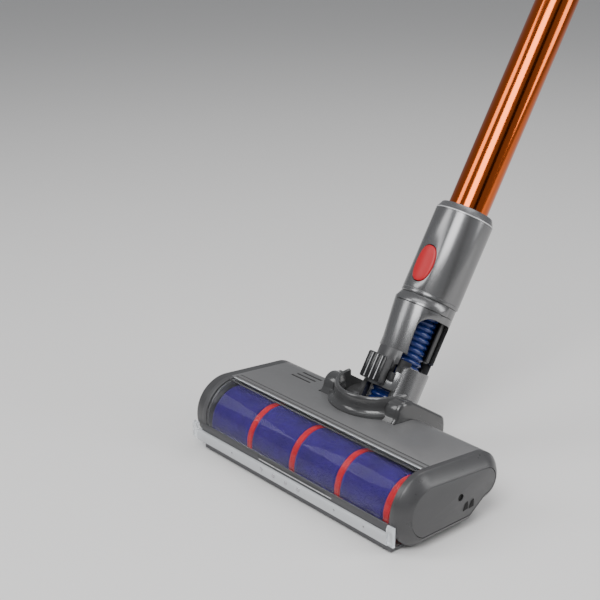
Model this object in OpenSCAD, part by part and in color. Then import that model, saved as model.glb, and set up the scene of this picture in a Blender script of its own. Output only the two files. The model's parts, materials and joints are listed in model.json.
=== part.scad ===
// Powered soft-roller sweeper head on an articulated neck with a tubular wand.
// Frame: +X across the head, +Y to the back, +Z up. The origin lies on the floor,
// in the middle of the underside of the felt glide strip behind the roller.

/* [Head] */
// Overall width of the head
head_w = 252; // [220:1:304]
// Width of the end cap on the drive side
left_cap_w = 16; // [14:0.5:20]
// Width of the end cap on the removal side
right_cap_w = 13; // [11:0.5:16]
// Radius of the round front of the housing
front_r = 29.5; // [28.5:0.5:36]
// Radius of the round back of the housing
back_r = 20.5; // [17:0.5:25]
// Distance from the centre of the front round to that of the back round
arc_gap = 59.4; // [54:0.2:72]
// Height of the centre of the back round above the floor
back_z = 33.8; // [31:0.2:37]
// Wall thickness of the housing mouldings
wall = 2; // [1.6:0.1:2.4]
// Height of the underside of the sole above the floor
sole_z = 1.5; // [1:0.5:3]

/* [Roller] */
// Radius of the plush roller
roller_r = 26; // [21.5:0.5:26.2]
// Thickness of the plush
plush_t = 4; // [3:0.2:6]
// Distance from the felt strip forward to the roller axis
roller_back = 42; // [40:0.5:48]
// Width of each red band
band_w = 6; // [4:0.2:9]
// Distance from one red band to the next
band_pitch = 52; // [44:1:53]
// Diameter of the stub axles
axle_d = 6; // [5:0.2:8]

/* [Neck] */
// Height of the pitch pivot above the floor
pivot_z = 36; // [35:0.5:38]
// Lean of the neck from the vertical as modelled
lean = 31.6; // [25:0.2:40]
// Outer radius of the neck tube
neck_r = 24; // [23.6:0.2:25]
// Distance along the neck from the pitch pivot to the steering pivot
steer_h = 47; // [45:1:57]
// Distance along the neck from the steering pivot to the release sleeve
sleeve_gap = 60; // [56:1:72]
// Length of the release sleeve
sleeve_len = 75; // [70:1:92]
// Outside diameter of the suction hose
hose_d = 31; // [26:0.5:31.4]

/* [Wand] */
// Outside diameter of the wand tube
wand_d = 34.2; // [28.5:0.1:34.4]
// Wall of the wand tube
wand_wall = 1.2; // [0.8:0.1:1.6]
// Length of bare tube between the sleeve and the upper collar
wand_len = 600; // [400:10:720]
// Length of the upper collar
collar_len = 94; // [90:1:114]

/* [Fits] */
// Radial clearance of pins and axles that turn
run = 0.06; // [0.03:0.01:0.1]
// Gap between pieces that move past each other
gap = 0.5; // [0.4:0.1:0.7]

/* [Hidden] */
$fn = 64;
touch = 0.3;

// Head: the housing profile lies in the Y-Z plane
roller_y = -roller_back;
back_y = roller_y + arc_gap;
cap_l = -head_w / 2 + left_cap_w;
cap_r = head_w / 2 - right_cap_w;
edge_r = 9;
gap_len = norm([arc_gap, back_z - front_r]);
top_n = atan2(back_z - front_r, arc_gap) + acos((front_r - back_r) / gap_len);
chamfer_run = 14;
window_z = 24.4;
window_a = 180 + asin((front_r - window_z) / front_r);

// Front: trim strip, bumper and rail stand ahead of the roller
lip_in = 2.3;
lip_y = roller_y - front_r + lip_in;
trim_t = 3.2;
bumper_t = 5.6;
trim_z = 18.2;
bumper_z = 8.4;

// Roller between the belt wall and the end wall
belt_wall = [cap_l + 4.5, cap_l + 6.5];
end_wall = [cap_r + 0.5, cap_r + 2.5];
roller_x0 = belt_wall[1] + 2.5;
roller_x1 = end_wall[0] - 2.5;
chamber_r = roller_r + 1.6;
tube_r = roller_r - plush_t;
band_x0 = roller_x0 + 47;
bearing_r = axle_d / 2 + 4;

// Drive: the motor lies behind the roller chamber, the belt runs in the left cap
motor_r = 14.5;
motor_y = roller_y + chamber_r + wall + motor_r + 0.8;
motor_z = 24;
motor_x = [belt_wall[1] + 3, belt_wall[1] + 47];
shaft_r = 1.5;
pulley_x = [cap_l - 7.5, cap_l + 0.5];
drive_r = 5;
driven_r = 14;
belt_t = 1.6;

// Neck: the pivots and the pieces between the saddle cheeks
pivot_y = roller_y + 69.4;
cheek_x = [30.5, 44];
cheek_r = 33.5;
pan_r = 27.5;
pin_r = 4;
hub_r = 22;
hub_x = [17.2, 30];
yoke_r = 25;
hose_r = hose_d / 2;
hose_wall = 1.5;
hose_in = 33;
ring_h = [steer_h - 21, steer_h - 11];
ear_y = [17, 19.6];
tongue_y = 20.1;
rib_half = 10.8;
steer_r = 2.5;
band_r = [31, 35];
band_c = pivot_y - 2.4;
saddle_top = 72;

// Wheels under the cheeks
wheel_r = 7;
wheel_w = 7;
wheel_y = pivot_y + 8.6;
wheel_x = (cheek_x[0] + cheek_x[1]) / 2;
wheel_pin_r = 1.5;

// Sleeve, button and pawl, measured along the neck
neck_in = 20;
sleeve_h0 = steer_h + sleeve_gap;
sleeve_h1 = sleeve_h0 + sleeve_len;
sleeve_r = neck_r + 1;
shell_t = 2.4;
wand_r = wand_d / 2;
bore_r = wand_r + 0.2;
liner_r = bore_r + 1.2;
button_a = 15.5;
button_b = 8.5;
button_h = sleeve_h0 + 25.5;
button_back = sleeve_r - shell_t - 0.3;
collar_h0 = sleeve_h1 + 6 + wand_len;
collar_h1 = collar_h0 + collar_len;
spigot_h0 = sleeve_h0 + 11;
tube_h0 = spigot_h0 + 32;
tube_h1 = collar_h0 + 24;
socket_h0 = tube_h1 + 12;
collar_button_h = tube_h1 + 44.5;

// ---- helpers ---------------------------------------------------------------

// Points of an arc in the Y-Z plane, angles from +Y towards +Z
function arc(y, z, r, a0, a1, n) =
    [for (i = [0:n]) let (a = a0 + (a1 - a0) * i / n) [y + r * cos(a), z + r * sin(a)]];

function ellipse(a, b, n = 40) = [for (i = [0:n - 1]) [b * cos(360 * i / n), a * sin(360 * i / n)]];

// Extrudes a Y-Z outline from x0 to x1
module slab_x(x0, x1) translate([x0, 0, 0]) rotate([90, 0, 90]) linear_extrude(x1 - x0) children();

module rod_x(r, x0, x1, y, z) translate([x0, y, z]) rotate([0, 90, 0]) cylinder(r = r, h = x1 - x0);

module ring_x(r1, r0, x0, x1, y, z) difference() {
    rod_x(r1, x0, x1, y, z);
    rod_x(r0, x0 - 1, x1 + 1, y, z);
}

// Cylinder along local Y, from y0 to y1 at height h
module rod_y(r, y0, y1, h) translate([0, y0, h]) rotate([-90, 0, 0]) cylinder(r = r, h = y1 - y0);

module tube(r1, r0, h0, h1) translate([0, 0, h0]) difference() {
    cylinder(r = r1, h = h1 - h0);
    translate([0, 0, -1]) cylinder(r = r0, h = h1 - h0 + 2);
}

// Box given by its low and high corners
module block(lo, hi) translate(lo) cube(hi - lo);

module both_sides() {
    children();
    mirror([1, 0, 0]) children();
}

module front_and_back() {
    children();
    mirror([0, 1, 0]) children();
}

// Neck frame: +Z runs up the neck from the pitch pivot, -Y is its front
module on_neck() translate([0, pivot_y, pivot_z]) rotate([-lean, 0, 0]) children();

// Housing profile, inset by d all round
module profile(d = 0) polygon(concat(
    arc(back_y, back_z, back_r - d, -90, top_n, 20),
    arc(roller_y, front_r, front_r - d, top_n, 180 + asin((front_r - sole_z - d) / (front_r - d)), 36),
    [[back_y - chamfer_run - 0.3 * d, sole_z + d]]
));

// Room that the saddle takes out of the housing
module saddle_room() rod_x(cheek_r + touch, -cheek_x[1] - touch, cheek_x[1] + touch, pivot_y, pivot_z);

// ---- head ------------------------------------------------------------------

screw_spots = [for (x = [cap_l + 14, -58, 58, cap_r - 12]) [x, motor_y - 11.9]];

module screw_holes() for (p = screw_spots) {
    translate([p[0], p[1], sole_z - 1]) cylinder(r = 1.6, h = 12);
    translate([p[0], p[1], sole_z - 1]) cylinder(r = 3.2, h = 2);
}

module wall_plate(x) difference() {
    slab_x(x[0], x[1]) profile(wall + touch);
    rod_x(bearing_r, x[0] - 1, x[1] + 1, roller_y, roller_r);
}

// Foot that joins an upright wall to the sole
module wall_foot(x0, x1) intersection() {
    slab_x(x0, x1) profile(wall / 2);
    block([x0 - 1, lip_y, 0], [x1 + 1, back_y - chamfer_run, sole_z + wall + 2]);
}

module sole_plate() color("dimgray") difference() {
    union() {
        slab_x(cap_l, cap_r) polygon([
            [lip_y, sole_z], [back_y - chamfer_run, sole_z], [back_y, back_z - back_r],
            [back_y, back_z - back_r + wall],
            [back_y - chamfer_run - 0.3 * wall, sole_z + wall], [lip_y, sole_z + wall]
        ]);
        block([cap_l, lip_y, sole_z], [cap_r, lip_y + 3.2, bumper_z + 5]);
        wall_plate(belt_wall);
        wall_plate(end_wall);
        wall_foot(belt_wall[0], belt_wall[1]);
        wall_foot(cap_r - 3, cap_r);
        intersection() {
            slab_x(cap_r - 3, end_wall[1]) profile(wall + touch);
            block([cap_r - 4, lip_y, 0], [head_w / 2, back_y, sole_z + wall + 2]);
        }
    }
    block([roller_x0 - 1.5, lip_y + 3.2, 0], [roller_x1 + 1.5, roller_y + 21, sole_z + wall + 3]);
    rod_x(shaft_r + 1.5, belt_wall[0] - 1, belt_wall[1] + 1, motor_y, motor_z);
    saddle_room();
    screw_holes();
}

// Round wall behind the roller, with the mouth of the suction duct
module chamber_wall() color([0.2, 0.2, 0.21]) difference() {
    slab_x(belt_wall[1] + touch, end_wall[0] - touch) polygon(concat(
        arc(roller_y, roller_r, chamber_r + wall, -34, 74, 24),
        arc(roller_y, roller_r, chamber_r, 74, -34, 24)
    ));
    block([-24, roller_y, hose_in - 11], [24, roller_y + chamber_r + 9, hose_in + 11]);
}

spigot_y = pivot_y - cheek_r - 2;
duct_r = hose_r - hose_wall;

module duct_shape(d) hull() {
    block([-24 - d, roller_y + chamber_r + wall / 2 - 3, hose_in - 11 - d],
        [24 + d, roller_y + chamber_r + wall / 2 - 2, hose_in + 11 + d]);
    translate([0, spigot_y, hose_in]) rotate([-90, 0, 0]) cylinder(r = duct_r + d, h = 0.5, $fn = 32);
}

module suction_duct() color([0.2, 0.2, 0.21]) difference() {
    union() {
        duct_shape(wall);
        translate([0, spigot_y, hose_in]) rotate([-90, 0, 0])
            cylinder(r = duct_r + wall, h = pivot_y - pan_r - touch - spigot_y);
    }
    duct_shape(0);
    translate([0, spigot_y - 1, hose_in]) rotate([-90, 0, 0]) cylinder(r = duct_r, h = 30);
    rod_x(chamber_r + wall + 0.05, -40, 40, roller_y, roller_r);
}

vent_y = [for (i = [0:2]) roller_y + 48 + 5.7 * i];

module vent_slots(w, h) for (i = [0:2])
    block([cap_l + 25 + i, vent_y[i] - w / 2, 40], [cap_l + 49 + i, vent_y[i] + w / 2, h]);

module head_top_cover() color([0.5, 0.5, 0.5]) difference() {
    slab_x(cap_l, cap_r) polygon(concat(
        arc(back_y, back_z, back_r, -90, top_n, 20),
        [for (r = [front_r, front_r - wall]) [roller_y + r * cos(top_n), front_r + r * sin(top_n)]],
        arc(back_y, back_z, back_r - wall, top_n, -90, 20)
    ));
    translate([0, roller_y, front_r]) rotate([top_n - 90, 0, 0])
        for (y = [2.4, 6.8]) block([cap_l - 1, y, front_r - 0.8], [cap_r + 1, y + 1.1, front_r + 2]);
    vent_slots(1.3, 70);
    saddle_room();
    block([-cheek_x[1] - touch, band_c, 20], [cheek_x[1] + touch, back_y + back_r + 5, 80]);
}

// Dark gauze behind the cooling slots
module vent_gauze() color([0.08, 0.08, 0.08])
    translate([0, roller_y, front_r]) rotate([top_n - 90, 0, 0])
    block([cap_l + 23, 44, front_r - wall - 1.2], [cap_l + 53, 56, front_r - wall - 0.2]);

module roller_window() color([0.8, 0.84, 0.88, 0.4])
    slab_x(cap_l, cap_r) polygon(concat(
        arc(roller_y, front_r, front_r, top_n, window_a, 30),
        arc(roller_y, front_r, front_r - wall, window_a, top_n, 30)
    ));

module front_trim_strip() color([0.25, 0.25, 0.26]) difference() {
    block([cap_l, lip_y - trim_t, trim_z], [cap_r, lip_y, window_z]);
    slab_x(cap_l - 1, cap_r + 1) polygon(arc(roller_y, front_r, front_r + 0.05, 172, 200, 12));
    block([-35, lip_y - trim_t - 1, trim_z + 3], [45, lip_y - trim_t + 1, trim_z + 5]);
}

module front_bumper() color([0.82, 0.84, 0.85, 0.7])
    block([cap_l - 4, lip_y - bumper_t, bumper_z], [cap_r, lip_y, trim_z]);

module bumper_end_tabs() color([0.85, 0.88, 0.9, 0.7]) {
    block([cap_r, lip_y - bumper_t, bumper_z + 1], [cap_r + 7, roller_y - front_r - touch, trim_z + 7]);
    block([cap_l - 10, lip_y - bumper_t, bumper_z + 1], [cap_l - 4, roller_y - front_r - touch, trim_z + 6]);
}

module bumper_studs() color([0.9, 0.92, 0.93])
    for (x = [-66, -22, -7, 9.5, 25, 63])
        translate([x, lip_y - bumper_t, (bumper_z + trim_z) / 2])
            rotate([90, 0, 0]) cylinder(r = 1.6, h = 0.6);

// Solid end of the housing with a rounded outer edge; its joint face is at x = 0
module cap_form(w, d) hull() for (i = [0:5]) let (a = 90 * i / 5, r = edge_r - d)
    slab_x(w - edge_r + r * sin(a) - 0.02, w - edge_r + r * sin(a)) profile(d + r * (1 - cos(a)));

module cap_shell(w) difference() {
    union() {
        cap_form(w, 0);
        slab_x(0, w - edge_r) profile(0);
    }
    cap_form(w, wall);
    slab_x(-1, w - edge_r + 0.1) profile(wall);
    slab_x(w - 1, w + 1) profile(edge_r + 0.6);
}

module left_end_cap() color([0.42, 0.42, 0.43])
    translate([cap_l, 0, 0]) mirror([1, 0, 0]) cap_shell(left_cap_w);

module right_end_cap() color([0.42, 0.42, 0.43]) difference() {
    translate([cap_r, 0, 0]) cap_shell(right_cap_w);
    rod_x(2.3, cap_r, head_w, screw_y, screw_z);
}

screw_y = roller_y + 31.7;
screw_z = 30;

module left_end_plate() color([0.46, 0.46, 0.47])
    slab_x(-head_w / 2, -head_w / 2 + 1) profile(edge_r + 0.8);

module right_end_plate() color([0.46, 0.46, 0.47]) difference() {
    slab_x(head_w / 2 - 1, head_w / 2) profile(edge_r + 0.8);
    rod_x(2.3, cap_r, head_w, screw_y, screw_z);
}

// Screw that holds the removable cap to the end wall
module cap_screw() color([0.05, 0.05, 0.05]) {
    rod_x(2.2, head_w / 2 - 3.4, head_w / 2 - 1.2, screw_y, screw_z);
    rod_x(1.2, end_wall[1], head_w / 2 - 3.4, screw_y, screw_z);
}

// Raised wedge marks that show which way the cap comes off
module end_marks() color([0.06, 0.06, 0.06]) slab_x(head_w / 2, head_w / 2 + 0.3)
    for (y = [34.6, 41]) translate([roller_y + y, 17.6])
        polygon([[0, 0], [5, 0.6], [5, 6.4], [2.2, 5.2]]);

module felt_strip() color([0.12, 0.12, 0.13]) block([cap_l + 8, -4, 0], [cap_r - 8, 4, sole_z]);

// Outline of a cheek: round about the pivot, raised at the front, sloping down to the back
module cheek() difference() {
    union() {
        translate([pivot_y, pivot_z]) circle(r = cheek_r);
        translate([pivot_y - 13.4, pivot_z + cheek_r - 9]) circle(r = 10);
    }
    translate([pivot_y - 8.4, pivot_z + cheek_r + 1.5]) rotate(-33.5) square([60, 40]);
}

// Cradle that carries the neck: two cheeks, the pan between them and the front band
module pivot_saddle() color([0.36, 0.36, 0.37]) difference() {
    union() {
        both_sides() slab_x(cheek_x[0], cheek_x[1]) cheek();
        slab_x(-cheek_x[0], cheek_x[0]) polygon(concat(
            arc(pivot_y, pivot_z, cheek_r - 0.4, 142, 292, 40),
            arc(pivot_y, pivot_z, pan_r, 292, 142, 40)
        ));
        difference() {
            translate([0, band_c, 40]) rotate_extrude() polygon([
                [band_r[0] - 1, 0], [band_r[1] + 1.5, 0], [band_r[1] + 1.5, 18],
                [band_r[1], 21], [band_r[1], saddle_top - 41.5],
                [band_r[1] - 1.5, saddle_top - 40], [band_r[1] - 3, saddle_top - 40]
            ]);
            block([-60, band_c, 30], [60, band_c + 60, 90]);
            slab_x(-60, 60) profile(-0.1);
        }
    }
    block([-60, pivot_y - 60, -2], [60, pivot_y + 60, sole_z + 0.5]);
    rod_x(hub_r + gap, -hub_x[1] - touch, hub_x[1] + touch, pivot_y, pivot_z);
    both_sides() {
        rod_x(pin_r + run, cheek_x[0] - 1, cheek_x[1] - 4, pivot_y, pivot_z);
        rod_x(wheel_r + 1, wheel_x - wheel_w / 2 - gap, wheel_x + wheel_w / 2 + gap, wheel_y, wheel_r);
        rod_x(wheel_pin_r, cheek_x[0] - 1, cheek_x[1] + 1, wheel_y, wheel_r);
    }
    translate([0, roller_y, hose_in]) rotate([-90, 0, 0]) cylinder(r = hose_r + 2.6, h = pivot_y - roller_y);
}

module wheel_axles() color("silver") both_sides()
    rod_x(wheel_pin_r, cheek_x[0], cheek_x[1] - 0.5, wheel_y, wheel_r);

module cover_screws() color("silver") for (p = screw_spots) translate([p[0], p[1], sole_z - 0.2]) {
    cylinder(r = 3, h = 1.2);
    cylinder(r = 1.5, h = 9);
}

// ---- drive -----------------------------------------------------------------

module motor_can() color([0.6, 0.6, 0.62]) difference() {
    rod_x(motor_r, motor_x[0], motor_x[1], motor_y, motor_z);
    rod_x(motor_r - 1.2, motor_x[0] + 2, motor_x[1] - 2, motor_y, motor_z);
    rod_x(shaft_r + run, motor_x[0] - 1, motor_x[1] + 1, motor_y, motor_z);
}

module motor_bracket() color([0.3, 0.3, 0.31]) difference() {
    intersection() {
        slab_x(belt_wall[1] + touch, motor_x[0]) profile(wall + touch);
        block([belt_wall[1], motor_y - motor_r, 0],
            [motor_x[1], motor_y + motor_r + 3, motor_z + motor_r]);
    }
    rod_x(5, belt_wall[1], motor_x[0] + 1, motor_y, motor_z);
}

module motor_armature() color([0.7, 0.4, 0.2]) ring_x(motor_r - 3.5, shaft_r, motor_x[0] + 6,
    motor_x[1] - 6, motor_y, motor_z);

module motor_shaft() color("silver") rod_x(shaft_r, pulley_x[0] - 1, motor_x[1] + 2, motor_y, motor_z);

// Pulley with two flanges; r is the radius that the belt runs on
module pulley(r, hole, y, z) difference() {
    union() {
        rod_x(r, pulley_x[0], pulley_x[1], y, z);
        for (x = [pulley_x[0], pulley_x[1] - 1]) rod_x(r + 1.4, x, x + 1, y, z);
    }
    rod_x(hole, pulley_x[0] - 1, pulley_x[1] + 1, y, z);
}

module motor_pulley() color([0.75, 0.65, 0.3]) pulley(drive_r, shaft_r, motor_y, motor_z);

module roller_pulley() color([0.15, 0.15, 0.15]) pulley(driven_r, axle_d / 2, roller_y, roller_r);

// Outline of the belt loop at distance d outside both pulleys
module belt_loop(d) {
    run_len = norm([motor_y - roller_y, motor_z - roller_r]);
    swing = acos((driven_r - drive_r) / run_len);
    dir = atan2(motor_z - roller_r, motor_y - roller_y);
    polygon(concat(
        arc(roller_y, roller_r, driven_r + d, dir + swing, dir + 360 - swing, 36),
        arc(motor_y, motor_z, drive_r + d, dir - swing, dir + swing, 18)
    ));
}

module drive_belt() color([0.08, 0.08, 0.08]) slab_x(pulley_x[0] + 1.4, pulley_x[1] - 1.4) difference() {
    belt_loop(touch + belt_t);
    belt_loop(touch);
}

module circuit_board() color([0.05, 0.3, 0.15])
    block([cheek_x[1] + 6, back_y - 22, 38], [cheek_x[1] + 50, back_y + 8, 39.6]);

module board_parts() color([0.1, 0.1, 0.1]) {
    block([cheek_x[1] + 12, back_y - 14, 39.6], [cheek_x[1] + 22, back_y - 4, 41.4]);
    block([cheek_x[1] + 30, back_y - 17, 39.6], [cheek_x[1] + 44, back_y - 9, 45]);
    for (i = [0:2]) translate([cheek_x[1] + 29 + 7 * i, back_y + 1, 39.6]) cylinder(r = 2.5, h = 5);
}

// ---- roller ----------------------------------------------------------------

module roller_bearings() color("silver") for (w = [belt_wall, end_wall])
    ring_x(bearing_r, axle_d / 2 + run, w[0], w[1], roller_y, roller_r);

module roller_tube() color([0.2, 0.2, 0.22])
    ring_x(tube_r, tube_r - 1.6, roller_x0 + 1, roller_x1 - 1, roller_y, roller_r);

module roller_hubs() color([0.15, 0.15, 0.16]) {
    rod_x(tube_r - 1.6, roller_x0 + 1, roller_x0 + 9, roller_y, roller_r);
    rod_x(axle_d / 2, pulley_x[0] - 1, roller_x0 + 1, roller_y, roller_r);
    rod_x(tube_r - 1.6, roller_x1 - 9, roller_x1 - 1, roller_y, roller_r);
    rod_x(axle_d / 2, roller_x1 - 1, end_wall[1] + 2, roller_y, roller_r);
}

module band_rings(r1, r0) for (i = [0:3]) let (x = band_x0 + band_pitch * i)
    ring_x(r1, r0, x, x + band_w, roller_y, roller_r);

module roller_plush() color([0.19, 0.16, 0.55]) difference() {
    ring_x(roller_r, tube_r, roller_x0, roller_x1, roller_y, roller_r);
    band_rings(roller_r + 1, roller_r - plush_t / 2);
}

module roller_bands() color([0.75, 0.1, 0.15]) band_rings(roller_r, roller_r - plush_t / 2);

module wheel(x) color([0.1, 0.1, 0.1])
    ring_x(wheel_r, wheel_pin_r + run, x - wheel_w / 2, x + wheel_w / 2, wheel_y, wheel_r);

module left_wheel() wheel(-wheel_x);

module right_wheel() wheel(wheel_x);

// ---- neck ------------------------------------------------------------------

// Fork between the cheeks: two hubs, two legs, a ring and the ears of the steering pivot
module lower_yoke() color([0.45, 0.45, 0.46]) on_neck() difference() {
    union() {
        both_sides() rod_x(hub_r, hub_x[0], hub_x[1], 0, 0);
        intersection() {
            tube(yoke_r, hub_x[0], 0, steer_h + 2);
            both_sides() block([hub_x[0] - 4, -16.5, 0], [yoke_r + 1, 16.5, steer_h + 2]);
        }
        tube(yoke_r, ear_y[0], ring_h[0], ring_h[1]);
        difference() {
            tube(yoke_r, ear_y[0], ring_h[1] - 1, ring_h[1] + 6);
            block([-14.3, -40, 0], [14.3, 40, 100]);
        }
        front_and_back() {
            block([-9, ear_y[0], ring_h[0]], [9, ear_y[1], steer_h]);
            rod_y(9, ear_y[0], ear_y[1], steer_h);
        }
    }
    both_sides() rod_x(pin_r, hub_x[0] - 1, hub_x[1] + 1, 0, 0);
    rod_y(steer_r, -yoke_r - 1, yoke_r + 1, steer_h);
}

module pitch_pins() color("silver") on_neck() both_sides()
    rod_x(pin_r, hub_x[0], cheek_x[1] - 4.5, 0, 0);

module steer_pins() color("silver") on_neck() front_and_back()
    rod_y(steer_r, ear_y[0], neck_r, steer_h);

// Ribbed cover over the front steering pin
module ribbed_cap() color([0.12, 0.12, 0.12]) on_neck() difference() {
    block([-rib_half, -yoke_r - 7.8, ring_h[0] + 2], [rib_half, -neck_r - touch, steer_h + 3.5]);
    for (i = [-1:1]) block([5.4 * i - 0.6, -yoke_r - 9, ring_h[0] + 3], [5.4 * i + 0.6, -yoke_r - 6.8, steer_h + 2.5]);
    cylinder(r = yoke_r, h = ring_h[1]);
}

// Hose: straight from the duct, bent under the pivot, straight up the neck
bend_r = 22;
hose_turn = 90 - lean;
hose_cross = (hose_in - pivot_z) / cos(lean);
bend_run = bend_r * tan(hose_turn / 2);
bend_y = pivot_y + hose_cross * sin(lean) - bend_run;
cuff_h = sleeve_h0 - 9;

// Solid of radius r that follows the hose, lengthened by e at both ends
module hose_form(r, e) union() {
    translate([0, pivot_y - pan_r - e, hose_in]) rotate([-90, 0, 0])
        cylinder(r = r, h = bend_y - pivot_y + pan_r + e);
    translate([0, bend_y, hose_in + bend_r]) rotate([90, 0, 90]) rotate([0, 0, -90])
        rotate_extrude(angle = hose_turn) translate([bend_r, 0]) circle(r = r);
    on_neck() translate([0, 0, hose_cross + bend_run])
        cylinder(r = r, h = cuff_h - hose_cross - bend_run + e);
}

module suction_hose() color([0.1, 0.2, 0.6]) difference() {
    hose_form(hose_r, 0);
    hose_form(hose_r - hose_wall, 1);
}

// Neck tube with a window for the hose on each side and a tongue front and back
module neck_tube() color([0.45, 0.45, 0.46]) on_neck() difference() {
    union() {
        tube(neck_r, neck_in, steer_h + 11, cuff_h + 0.5);
        front_and_back() intersection() {
            cylinder(r = neck_r, h = 300);
            union() {
                block([-20, tongue_y, steer_h - 2], [20, neck_r + 1, steer_h + 13]);
                intersection() {
                    rod_y(10, tongue_y, neck_r + 1, steer_h);
                    block([-20, tongue_y, 0], [20, neck_r + 1, steer_h + 1]);
                }
            }
        }
        difference() {
            hull() {
                translate([0, 0, steer_h + 16]) cylinder(r = neck_r - 0.2, h = 1, $fn = 48);
                translate([0, -4, cuff_h - 0.5]) cylinder(r = neck_r + 0.5, h = 1, $fn = 48);
            }
            cylinder(r = neck_r - 1, h = 300);
            block([-40, -8, 0], [40, 60, 300]);
        }
    }
    rod_y(steer_r + run, -neck_r - 1, neck_r + 1, steer_h);
    both_sides() {
        block([0, -16.8, 0], [40, 16.8, cuff_h - 14.3]);
        hull() for (y = [-7.8, 7.8]) translate([0, y, cuff_h - 14.3]) rotate([0, 90, 0]) cylinder(r = 9, h = 40);
    }
}

// Short band between the neck tube and the sleeve
module neck_band() color([0.5, 0.5, 0.51]) on_neck() union() {
    tube(neck_r, neck_in, cuff_h + 0.5, sleeve_h0);
    difference() {
        hull() {
            translate([0, -4, cuff_h + 0.5]) cylinder(r = neck_r + 0.5, h = 2.5, $fn = 48);
            translate([0, -0.5, sleeve_h0 - 0.1]) cylinder(r = neck_r + 0.4, h = 0.1, $fn = 48);
        }
        cylinder(r = neck_r - 1, h = 300);
        block([-40, -8, 0], [40, 60, 300]);
    }
}

module hose_cuff() color([0.12, 0.12, 0.13]) on_neck()
    tube(neck_in, hose_r - hose_wall, cuff_h + touch, sleeve_h0);

module neck_contacts() color([0.1, 0.1, 0.1]) on_neck()
    block([-6, liner_r + 0.1, sleeve_h0 + 4.5], [6, sleeve_r - shell_t - 0.9, sleeve_h0 + 20]);

// The latch pieces are drawn about the button's centre; side is 1 with the hook above
// the button, and -1 with the hook below it
module at_latch(hb, side) translate([0, 0, hb]) mirror([0, 0, side > 0 ? 0 : 1]) children();

// Shell with the holes for the button and for the pawl's swing
module latch_shell(h0, h1, hb, side) difference() {
    tube(sleeve_r, sleeve_r - shell_t, h0, h1);
    at_latch(hb, side) {
        rotate([90, 0, 0]) linear_extrude(40) polygon(ellipse(button_a + 0.4, button_b + 0.4));
        block([-4.6, -sleeve_r + 1.3, 20], [4.6, -sleeve_r + 5, 41]);
    }
}

pawl_y = -sleeve_r + 4.8;

// Inner socket tube with the pawl's slot and ears, flanged to the shell
module latch_liner(h0, h1, hb, side) difference() {
    union() {
        tube(liner_r, bore_r, h0, h1);
        for (h = [h0, h1 - 3]) tube(sleeve_r - shell_t, bore_r, h, h + 3);
        at_latch(hb, side) both_sides()
            block([4.5, pawl_y - 1.2, 21.5], [6.5, -bore_r + 1, 26.5]);
    }
    translate([0, 0, h0 - 1]) cylinder(r = bore_r, h = h1 - h0 + 2);
    at_latch(hb, side) {
        block([-4.4, -sleeve_r + shell_t + 0.1, 7], [4.4, -10, 41]);
        rod_x(1 + run, -10, 10, pawl_y, 24);
    }
}

module latch_button(hb, side) at_latch(hb, side) {
    difference() {
        translate([0, -button_back, 0]) rotate([90, 0, 0])
            linear_extrude(sleeve_r + 1.2 - button_back) polygon(ellipse(button_a, button_b));
        rod_y(3.3, -sleeve_r + 1, 0, -5);
    }
    block([-2.5, -button_back - 0.5, 9.5], [2.5, pawl_y - 0.9, 11.8]);
}

// Coil spring swept along a helix between the button and the liner
spring_turns = 3;
spring_wire = 0.35;
module latch_spring(hb, side) {
    y0 = -sleeve_r + 1.1 + spring_wire;
    y1 = -liner_r - 0.1 - spring_wire;
    steps = 12 * spring_turns;
    sides = 6;
    points = [for (i = [0:steps]) let (a = 30 * i, y = y0 + (y1 - y0) * i / steps)
        for (k = [0:sides - 1]) let (b = 60 * k, r = 2.5 + spring_wire * cos(b))
            [r * cos(a), y + spring_wire * sin(b), hb - 5 * side + r * sin(a)]];
    faces = concat(
        [[for (k = [0:sides - 1]) k]],
        [for (i = [0:steps - 1]) for (k = [0:sides - 1])
            [i * sides + k, (i + 1) * sides + k, (i + 1) * sides + (k + 1) % sides, i * sides + (k + 1) % sides]],
        [[for (k = [sides - 1:-1:0]) steps * sides + k]]
    );
    polyhedron(points, faces);
}

// Rocking pawl: the button pushes its near end in and its hook swings out
module latch_pawl(hb, side) at_latch(hb, side) translate([0, pawl_y, 24]) {
    block([-4, -0.8, -15.5], [4, 0.6, 15.5]);
    block([-3.6, 0.5, 10.5], [3.6, -pawl_y - wand_r + wand_wall - 0.2, 14.5]);
    rod_x(1, -6.4, 6.4, 0, 0);
}

module release_sleeve() color([0.5, 0.5, 0.51]) on_neck() latch_shell(sleeve_h0, sleeve_h1, button_h, 1);

module sleeve_liner() color([0.3, 0.3, 0.31]) on_neck()
    latch_liner(sleeve_h0, sleeve_h1, button_h, 1);

module collar_ring() color([0.65, 0.65, 0.66]) on_neck() difference() {
    translate([0, 0, sleeve_h1]) cylinder(r1 = sleeve_r - 0.4, r2 = sleeve_r - 3, h = 6);
    translate([0, 0, sleeve_h1 - 1]) cylinder(r = bore_r, h = 8);
}

module release_button() color([0.82, 0.12, 0.15]) on_neck() latch_button(button_h, 1);

module release_spring() color("silver") on_neck() latch_spring(button_h, 1);

module release_pawl() color([0.15, 0.15, 0.15]) on_neck() latch_pawl(button_h, 1);

// ---- wand ------------------------------------------------------------------

module wand_spigot() color([0.2, 0.2, 0.21]) on_neck() {
    tube(wand_r, wand_r - 3, spigot_h0, tube_h0);
    tube(wand_r - wand_wall, wand_r - 3, tube_h0, tube_h0 + 12);
}

module wand_tube() color([0.85, 0.38, 0.12]) on_neck() difference() {
    tube(wand_r, wand_r - wand_wall, tube_h0, tube_h1);
    block([-4.3, -30, button_h + 33], [4.3, -10, button_h + 40.5]);
}

// Channel for the power leads along the back of the tube's inside
module wire_duct() color([0.1, 0.1, 0.1]) on_neck() intersection() {
    tube(wand_r - wand_wall - 0.05, wand_r - wand_wall - 5, tube_h0 + 12, tube_h1);
    block([-8, 9, 0], [8, 30, 2000]);
}

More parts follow.
